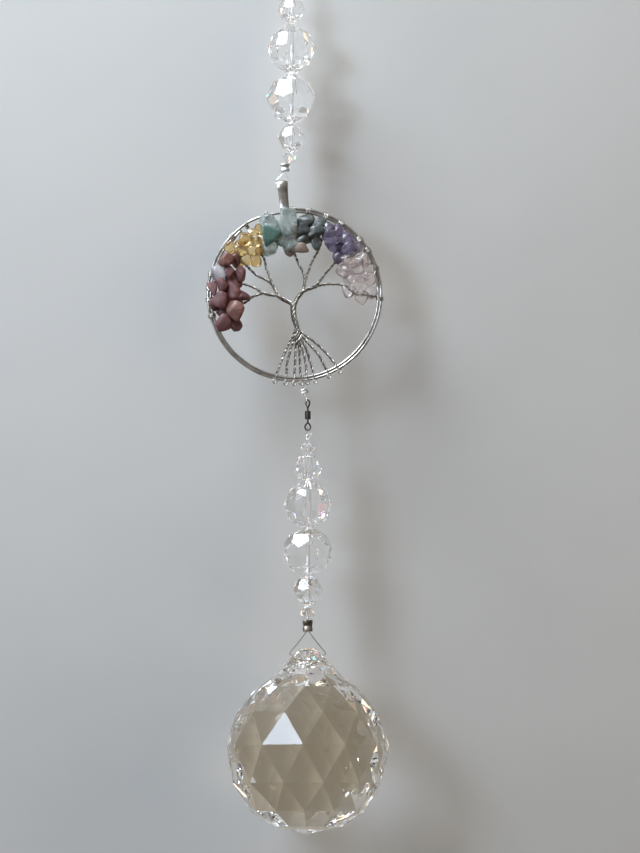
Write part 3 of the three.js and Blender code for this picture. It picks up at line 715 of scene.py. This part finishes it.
def tumbled(width, height, thick, seed, cut):
    """A tumbled chip: a few random flats, their edges worn round, and the cut's own flats."""
    rng = np.random.default_rng(seed)
    normals = rng.normal(size=(11, 3))
    normals[:, 1] *= 0.7
    normals /= np.linalg.norm(normals, axis=1)[:, None]
    distances = rng.uniform(0.56, 0.9, size=11)
    if cut is not None:
        flats = np.array(cut[0], float)
        normals[: len(flats)] = flats / np.linalg.norm(flats, axis=1)[:, None]
        distances[: len(flats)] = cut[1]
        distances[len(flats):] += 0.1
    reach = (SPHERE_POINTS @ normals.T).clip(0.05) / distances
    sharp = 10.0
    radius = (np.sum(reach**sharp, axis=1) + 1.0) ** (-1 / sharp)
    points = SPHERE_POINTS * radius[:, None]
    points -= (points.max(0) + points.min(0)) / 2
    points /= (points.max(0) - points.min(0)) / 2
    waves = 0.025 * np.sin(points @ rng.normal(size=(3, 2)) * 2.6 + seed).sum(1)
    points *= (1 + waves)[:, None]
    return points * (width / 2, thick / 2, height / 2)


def gem_chips():
    """Every chip as a tumbled stone; the CAD chips are hidden."""
    counts = {}
    cad_chips = {}
    for name in nodes:
        if "_chip_" in name:
            cad_chips.setdefault(name.split("_chip_")[0], []).append(name)
    made = {}
    for seed, (stone, degrees, distance, width, height, front, turned) in enumerate(CHIPS):
        counts[stone] = counts.get(stone, 0) + 1
        name = f"{stone}_stone_{counts[stone]}"
        thick = 0.62 * min(width, height) + 0.3
        width, height = width * CHIP_GROWTH, height * CHIP_GROWTH
        points = tumbled(width, height, thick, seed + 5, CUTS.get(name))
        lean = Matrix.Rotation(math.radians(turned), 4, "Y") @ Matrix.Rotation(
            CHIP_LEAN * math.sin(seed * 2.3), 4, "X"
        )
        points = (np.asarray(lean)[:3, :3] @ points.T).T + polar(degrees, distance, -front)
        shape = Shape()
        shape.add(points, SPHERE_FACES)
        chip = shape.build(name, STONES[stone], "upper", PENDANT)
        made.setdefault(stone, []).append(chip)
    for stone, names in cad_chips.items():
        for i, name in enumerate(sorted(names)):
            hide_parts(name)


# ---- crimps ----

DROP_TILT = math.radians(-14)


def crimp(name, node, material, body, waist=0.16, nip=0.08, tilt=0.0, lip=0.05):
    """A squashed tube: full at both ends, pressed in at its middle by waist deep and nip across."""
    low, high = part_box(node)
    middle = (low + high) / 2 / MM
    half = (high - low) / 2 / MM
    sides = 36
    angle = np.arange(sides) * TURN / sides
    wall = 0.3 * half.y if half.y < 0.8 else 0.36
    profile = []
    for t in np.linspace(-1, 1, 19):
        press = math.exp(-((t / 0.34) ** 2))
        rounding = lip * max(0.0, (abs(t) - 0.82) / 0.18) ** 2
        profile.append((t * half.z, 1 - press * nip - rounding, 1 - press * waist - rounding, 0.0))
    for t in np.linspace(1, -1, 9):
        press = math.exp(-((t / 0.34) ** 2))
        profile.append((t * (half.z - 0.03), 1 - press * nip, 1 - press * waist, wall))
    points = []
    for z, sx, sy, inset in profile:
        cx, cy = np.cos(angle), np.sin(angle)
        x = (half.x * sx - inset) * np.sign(cx) * np.abs(cx) ** 0.85
        y = (half.y * sy - inset) * np.sign(cy) * np.abs(cy) ** 0.85
        points.append(np.stack([x, y, np.full(sides, z)], 1))
    rows = len(profile)
    faces = []
    for i in range(rows):
        j = (i + 1) % rows
        for k in range(sides):
            n = (k + 1) % sides
            faces.append((i * sides + k, i * sides + n, j * sides + n, j * sides + k))
    shape = Shape()
    shape.add(np.vstack(points), faces)
    matrix = Matrix.Translation(middle) @ Matrix.Rotation(tilt, 4, "Y")
    tube = shape.build(name, material, body, matrix)
    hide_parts(node)
    return tube


def crimps():
    top = crimp("top_crimp", "top_crimp_tube", SOFT_SILVER, "upper", 0.26)
    bail = crimp("bail_crimp", "bail_crimp_tube", SOFT_SILVER, "upper", 0.42, 0.2, lip=0.16)
    drop = crimp("drop_crimp", "drop_crimp_tube", SOFT_SILVER, "upper", 0.1, 0.03, DROP_TILT)
    end = crimp("ball_crimp", "ball_crimp_tube", AGED_BRONZE, "lower", 0.35, 0.11)


# ---- line knot below the swivel ----

KNOT_TOP = -134.75
KNOT_FOOT = -136.15
KNOT_TURNS = 3.6


def line_knot():
    """The line's end wound round itself under the swivel's lower eye."""
    t = np.linspace(0, 1, 60)
    angle = TURN * KNOT_TURNS * t + 0.4
    height = KNOT_TOP + (KNOT_FOOT - KNOT_TOP) * t
    swell = 0.36 + 0.1 * np.sin(math.pi * t)
    shape = Shape()
    shape.tube(
        np.stack([LOWER_X + swell * np.cos(angle), swell * np.sin(angle), height], 1),
        LINE_D * 0.55,
        sides=8,
    )
    tail = [(0.3, -0.2, -135.7), (0.7, -0.35, -135.3), (1.1, -0.3, -134.7)]
    shape.tube(spline([(LOWER_X + x, y, z) for x, y, z in tail]), LINE_D / 2, sides=8)
    shape.build("line_knot", LINE, "lower")


# ---- stage and light ----

ball_low, ball_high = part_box("crystal_ball")
BALL_MIDDLE = Vector(((ball_low.x + ball_high.x) / 2, 0, ball_low.z + BALL_R * MM))
WALL_FOOT_Y = 0.0244
WALL_LEAN = math.radians(4.3)
WALL_HALF_WIDTH = 0.5
WALL_DOWN = -0.45
WALL_UP = 0.6
# Painted shade: a brown patch on the wall round the ball, for the ball's own shadow, seen only through
# crystal.
BALL_SHADOW_PAINT_REACH = 0.037
BALL_SHADOW_PAINT_LOW = (0.2, 0.155, 0.1)
BALL_SHADOW_PAINT_HIGH = (0.56, 0.475, 0.345)


def make_backdrop():
    """Pale wall leaning close behind the strand and the ball. It is clear from behind, so it
    never hides the part. Near the ball, rays that come through crystal see it painted brown: painted
    shade for the ball's own shadow on the wall, standing in too for the dim room beyond."""
    along = Vector((0, -math.sin(WALL_LEAN), math.cos(WALL_LEAN)))
    foot = Vector((0, WALL_FOOT_Y, BALL_MIDDLE.z))
    corners = [
        foot + along * up + Vector((x, 0, 0))
        for up in (WALL_DOWN, WALL_UP)
        for x in (-WALL_HALF_WIDTH, WALL_HALF_WIDTH)
    ]
    mesh = bpy.data.meshes.new("backdrop")
    mesh.from_pydata(corners, [], [(0, 1, 3, 2)])
    backdrop = bpy.data.objects.new("backdrop", mesh)
    bpy.context.scene.collection.objects.link(backdrop)
    m = Nodes("backdrop", Roughness=0.65)
    m.shader.inputs["Specular IOR Level"].default_value = 0.15
    paint = m.ramp(m.noise(14, detail=5), [(0.3, (0.66, 0.655, 0.64)), (0.7, (0.7, 0.695, 0.68))])
    # brown is painted shade: the ball's shadow on the wall, shown only to rays that come through crystal
    brown = m.ramp(m.noise(60, detail=1, warp=0.6), [(0.33, BALL_SHADOW_PAINT_LOW), (0.64, BALL_SHADOW_PAINT_HIGH)])
    away = m.add("ShaderNodeVectorMath", operation="DISTANCE")
    m.link(m.place(), away.inputs[0])
    away.inputs[1].default_value = BALL_MIDDLE + Vector((0, WALL_FOOT_Y, 0))
    near = m.span(away.outputs["Value"], BALL_SHADOW_PAINT_REACH * 0.8, BALL_SHADOW_PAINT_REACH * 1.2, 1, 0)
    both = m.add("ShaderNodeMath", operation="MULTIPLY")
    m.link(near, both.inputs[0])
    m.link(m.add("ShaderNodeLightPath").outputs["Is Transmission Ray"], both.inputs[1])
    mixed = m.add("ShaderNodeMixRGB")
    m.link(both.outputs["Value"], mixed.inputs["Fac"])
    m.link(paint, mixed.inputs["Color1"])
    m.link(brown, mixed.inputs["Color2"])
    m.colour(mixed.outputs["Color"])
    m.bump(m.noise(260, detail=3), 0.03, 0.0004)
    clear = m.add("ShaderNodeBsdfTransparent")
    mix = m.add("ShaderNodeMixShader")
    sides = m.add("ShaderNodeNewGeometry")
    m.link(sides.outputs["Backfacing"], mix.inputs["Fac"])
    m.link(m.shader.outputs["BSDF"], mix.inputs[1])
    m.link(clear.outputs["BSDF"], mix.inputs[2])
    m.link(mix.outputs["Shader"], m.tree.nodes["Material Output"].inputs["Surface"])
    mesh.materials.append(m.material)


def soft_light(name, aim, direction, distance, width, height, colour, power):
    data = bpy.data.lights.new(name, "AREA")
    data.shape = "RECTANGLE"
    data.size = width
    data.size_y = height
    data.color = colour
    data.energy = power
    light = bpy.data.objects.new(name, data)
    bpy.context.scene.collection.objects.link(light)
    away = Vector(direction).normalized()
    light.location = Vector(aim) + away * distance
    light.rotation_euler = away.to_track_quat("Z", "Y").to_euler()
    light.visible_camera = False
    return light


# What mirrors see of the room, from its dim right to its bright upper left, and what shows
# through clear crystal.
ROOM_LIGHT = [
    (0.0, (0.07, 0.06, 0.05)), (0.42, (0.15, 0.135, 0.115)), (0.72, (0.38, 0.38, 0.38)),
    (1.0, (0.85, 0.89, 0.93)),
]
CLEAR_LIGHT = [
    (0.0, (0.36, 0.34, 0.32)), (0.45, (0.42, 0.405, 0.395)), (0.75, (0.52, 0.52, 0.53)),
    (1.0, (0.75, 0.78, 0.82)),
]
CAST_LIGHT = (0.035, 0.032, 0.028, 1)  # what the room itself casts on dull surfaces
TO_WINDOW = Vector((-0.7, -0.35, 0.62)).normalized()
OPEN_GREY = (0.42, 0.42, 0.415, 1)  # what the camera sees past the wall
LAMP_SPACING = 7.0
LAMP_SIZE = 0.3
LAMP_SHARE = 0.6
LAMP_FRONT = 0.35  # no lamps nearer than this to the direction the front faces
LAMP_LIGHT = 5.0
RAINBOW_LAMP = [
    (0.0, (1, 1, 1)), (0.34, (1, 1, 1)), (0.46, (0.4, 0.25, 1.0)), (0.58, (0.05, 0.6, 0.9)),
    (0.68, (0.2, 0.85, 0.25)), (0.8, (0.9, 0.6, 0.05)), (0.92, (0.6, 0.03, 0.05)), (1.0, (0, 0, 0)),
]


def make_world():
    """Dim warm room, brighter and cooler to the upper left, with small rainbow-edged lamps."""
    world = bpy.data.worlds.new("studio")
    bpy.context.scene.world = world
    world.use_nodes = True
    tree = world.node_tree
    links = tree.links
    background = tree.nodes["Background"]
    direction = tree.nodes.new("ShaderNodeTexCoord").outputs["Generated"]

    def ramp(value, low, high, stops):
        scale = tree.nodes.new("ShaderNodeMapRange")
        scale.inputs["From Min"].default_value = low
        scale.inputs["From Max"].default_value = high
        links.new(value, scale.inputs["Value"])
        node = tree.nodes.new("ShaderNodeValToRGB")
        while len(node.color_ramp.elements) < len(stops):
            node.color_ramp.elements.new(0.5)
        for element, (position, colour) in zip(node.color_ramp.elements, stops):
            element.position = position
            element.color = (*colour, 1)
        links.new(scale.outputs["Result"], node.inputs["Fac"])
        return node.outputs["Color"]

    def feed(value, socket):
        if isinstance(value, bpy.types.NodeSocket):
            links.new(value, socket)
        else:
            socket.default_value = value

    def work(kind, operation, a, b, result="Value"):
        node = tree.nodes.new(kind)
        node.operation = operation
        feed(a, node.inputs[0])
        feed(b, node.inputs[1])
        return node.outputs[result]

    def vector_math(operation, a, b, result="Value"):
        return work("ShaderNodeVectorMath", operation, a, b, result)

    def number_math(operation, a, b):
        return work("ShaderNodeMath", operation, a, b)

    def swap(switch, usual, other):
        node = tree.nodes.new("ShaderNodeMixRGB")
        links.new(switch, node.inputs["Fac"])
        links.new(usual, node.inputs["Color1"])
        feed(other, node.inputs["Color2"])
        return node.outputs["Color"]

    towards_window = vector_math("DOT_PRODUCT", direction, TO_WINDOW)
    room = ramp(towards_window, -1, 1, ROOM_LIGHT)
    cells = tree.nodes.new("ShaderNodeTexVoronoi")
    cells.inputs["Scale"].default_value = LAMP_SPACING
    links.new(direction, cells.inputs["Vector"])
    lamp = ramp(cells.outputs["Distance"], 0, LAMP_SIZE, RAINBOW_LAMP)
    parts = tree.nodes.new("ShaderNodeSeparateColor")
    links.new(cells.outputs["Color"], parts.inputs["Color"])
    some = number_math("GREATER_THAN", parts.outputs["Red"], 1 - LAMP_SHARE)
    aside = number_math("LESS_THAN", vector_math("DOT_PRODUCT", direction, (0, -1, 0)), LAMP_FRONT)
    strength = number_math("MULTIPLY", number_math("MULTIPLY", some, aside), LAMP_LIGHT)
    lamps = tree.nodes.new("ShaderNodeVectorMath")
    lamps.operation = "SCALE"
    links.new(lamp, lamps.inputs[0])
    links.new(strength, lamps.inputs["Scale"])
    rays = tree.nodes.new("ShaderNodeLightPath")
    clear = ramp(towards_window, -1, 1, CLEAR_LIGHT)
    seen = swap(rays.outputs["Is Transmission Ray"], room, clear)
    glow = vector_math("ADD", seen, lamps.outputs["Vector"], "Vector")
    cast = swap(rays.outputs["Is Diffuse Ray"], glow, CAST_LIGHT)
    links.new(swap(rays.outputs["Is Camera Ray"], cast, OPEN_GREY), background.inputs["Color"])


def lit_facet(node, azimuth, rise):
    """Centre and mirror direction, towards the camera, of a node's large facet that faces that way."""
    wanted = Vector((
        math.sin(math.radians(azimuth)) * math.cos(math.radians(rise)),
        -math.cos(math.radians(azimuth)) * math.cos(math.radians(rise)),
        math.sin(math.radians(rise)),
    ))
    facets = nodes[node].data.polygons
    large = max(p.area for p in facets) / 3
    facet = max((p for p in facets if p.area > large), key=lambda p: p.normal.dot(wanted))
    centre = facet.center
    view = (bpy.context.scene.camera.location - centre).normalized()
    return centre, facet.normal * 2 * facet.normal.dot(view) - view


WINDOW_BLUE = (0.72, 0.86, 1.06)
SKY_BLUE = (0.84, 0.93, 1.02)
ROOM_WARM = (1.0, 0.76, 0.5)


def make_light():
    """A window mirrored in one facet of the ball, a soft sky, and the warm room on the right."""
    facet, mirrored = lit_facet("crystal_ball", -18, 11)
    soft_light("window", facet, mirrored, 0.6, 0.165, 0.16, WINDOW_BLUE, 1.0)
    soft_light("sky", (0, 0, -0.055), (-0.486, -0.335, 0.805), 0.6, 0.38, 0.38, SKY_BLUE, 7.0)
    room = soft_light("room", (0, 0, -0.14), (0.75, -0.6, 0.1), 1.3, 0.9, 0.9, ROOM_WARM, 4.4)
    room.visible_glossy = False


# ---- assemble ----

BOUNCES = 24  # light crosses many facets inside the ball


def dress_cad_nodes():
    """Materials for the CAD pieces that are shown as they are."""
    for name, node in nodes.items():
        material = None
        if name == "crystal_ball":
            material = BALL_CRYSTAL
        elif "bead" in name:
            material = CRYSTAL
        elif name.endswith("_line"):
            material = LINE
        elif name.startswith("swivel"):
            material = DARK_BRONZE
        if material is not None:
            node.data.materials.clear()
            node.data.materials.append(material)


scene = bpy.context.scene
scene.view_settings.view_transform = "Standard"
scene.cycles.max_bounces = BOUNCES
scene.cycles.transmission_bounces = BOUNCES
scene.cycles.glossy_bounces = BOUNCES

make_backdrop()
make_world()
make_light()

dress_cad_nodes()
pendant_ring()
pendant_bail()
tree_wires()
rim_wires()
gem_chips()
crimps()
line_knot()
